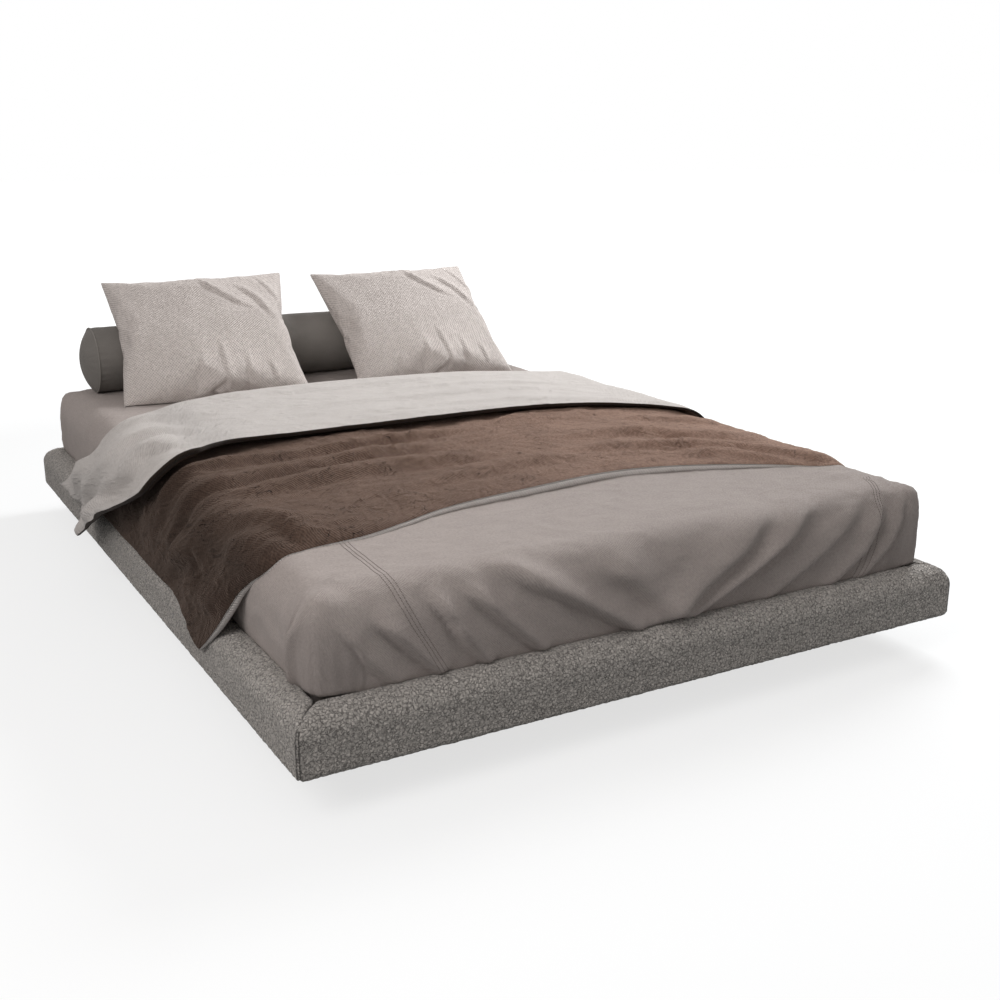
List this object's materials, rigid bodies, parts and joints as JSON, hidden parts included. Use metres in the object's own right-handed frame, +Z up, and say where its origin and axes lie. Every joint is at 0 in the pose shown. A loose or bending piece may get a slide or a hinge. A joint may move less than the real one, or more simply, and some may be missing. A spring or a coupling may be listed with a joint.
{
  "type": "floating bed",
  "caption": "Low upholstered platform bed that seems to float on a recessed plinth, with a sheeted mattress, a folded-back duvet, a bolster and propped pillows.",
  "frame": {"origin": "on the floor, under the middle of the bed", "axes": "+Z up, +Y from the foot towards the head, +X to the right of someone who looks from the foot towards the head"},
  "size_m": [1.6055, 2.117, 0.6672],
  "materials": {
    "boucle": "curly grey-brown boucle",
    "foam": "open-cell foam",
    "spruce": "planed spruce",
    "birch": "sanded birch",
    "bracket_steel": "black powder coat",
    "fixing_steel": "zinc plated",
    "ticking": "knitted mattress ticking",
    "sheet_fabric": "woven taupe cotton",
    "duvet_fabric": "washed brown cotton with a light reverse",
    "bolster_fabric": "smooth dark grey cloth with piping",
    "pillow_fabric": "coarse pale linen weave"
  },
  "bodies": {
    "bed": {"rail_board_right": "spruce", "rail_foam_right": "foam", "rail_cover_right": "boucle", "rail_board_head": "spruce", "rail_foam_head": "foam", "rail_cover_head": "boucle", "rail_board_left": "spruce", "rail_foam_left": "foam", "rail_cover_left": "boucle", "rail_board_foot": "spruce", "rail_foam_foot": "foam", "rail_cover_foot": "boucle", "corner_brackets": "bracket_steel", "bearer_brackets": "bracket_steel", "corner_bolts": "fixing_steel", "bracket_screws": "fixing_steel", "frame_screws": "fixing_steel", "thread_inserts": "fixing_steel", "bearer_1": "spruce", "bearer_2": "spruce", "bearer_3": "spruce", "bearer_4": "spruce", "bearer_5": "spruce", "batten_left": "spruce", "batten_centre": "spruce", "batten_right": "spruce", "slat_01": "birch", "slat_02": "birch", "slat_03": "birch", "slat_04": "birch", "slat_05": "birch", "slat_06": "birch", "slat_07": "birch", "slat_08": "birch", "slat_09": "birch", "slat_10": "birch", "slat_11": "birch", "slat_12": "birch", "plinth_side_left": "spruce", "plinth_side_right": "spruce", "plinth_end_foot": "spruce", "plinth_end_head": "spruce", "plinth_spine": "spruce", "plinth_blocks": "spruce", "mattress_core": "foam", "mattress_cover": "ticking", "fitted_sheet": "sheet_fabric", "duvet": "duvet_fabric", "bolster_core": "foam", "bolster_cover": "bolster_fabric", "bolster_piping": "bolster_fabric", "pillow_left": "pillow_fabric", "pillow_right": "pillow_fabric"},
    "foot_foot_left": {"levelling_foot_foot_left": "fixing_steel"},
    "foot_foot_right": {"levelling_foot_foot_right": "fixing_steel"},
    "foot_middle_left": {"levelling_foot_middle_left": "fixing_steel"},
    "foot_middle_right": {"levelling_foot_middle_right": "fixing_steel"},
    "foot_head_left": {"levelling_foot_head_left": "fixing_steel"},
    "foot_head_right": {"levelling_foot_head_right": "fixing_steel"}
  },
  "joints": [
    {"name": "foot_left_screw", "type": "slide", "parent": "bed", "child": "foot_foot_left", "axis": [0, 0, -1], "range_m": [0, 0.015]},
    {"name": "foot_right_screw", "type": "slide", "parent": "bed", "child": "foot_foot_right", "axis": [0, 0, -1], "range_m": [0, 0.015]},
    {"name": "middle_left_screw", "type": "slide", "parent": "bed", "child": "foot_middle_left", "axis": [0, 0, -1], "range_m": [0, 0.015]},
    {"name": "middle_right_screw", "type": "slide", "parent": "bed", "child": "foot_middle_right", "axis": [0, 0, -1], "range_m": [0, 0.015]},
    {"name": "head_left_screw", "type": "slide", "parent": "bed", "child": "foot_head_left", "axis": [0, 0, -1], "range_m": [0, 0.015]},
    {"name": "head_right_screw", "type": "slide", "parent": "bed", "child": "foot_head_right", "axis": [0, 0, -1], "range_m": [0, 0.015]}
  ]
}
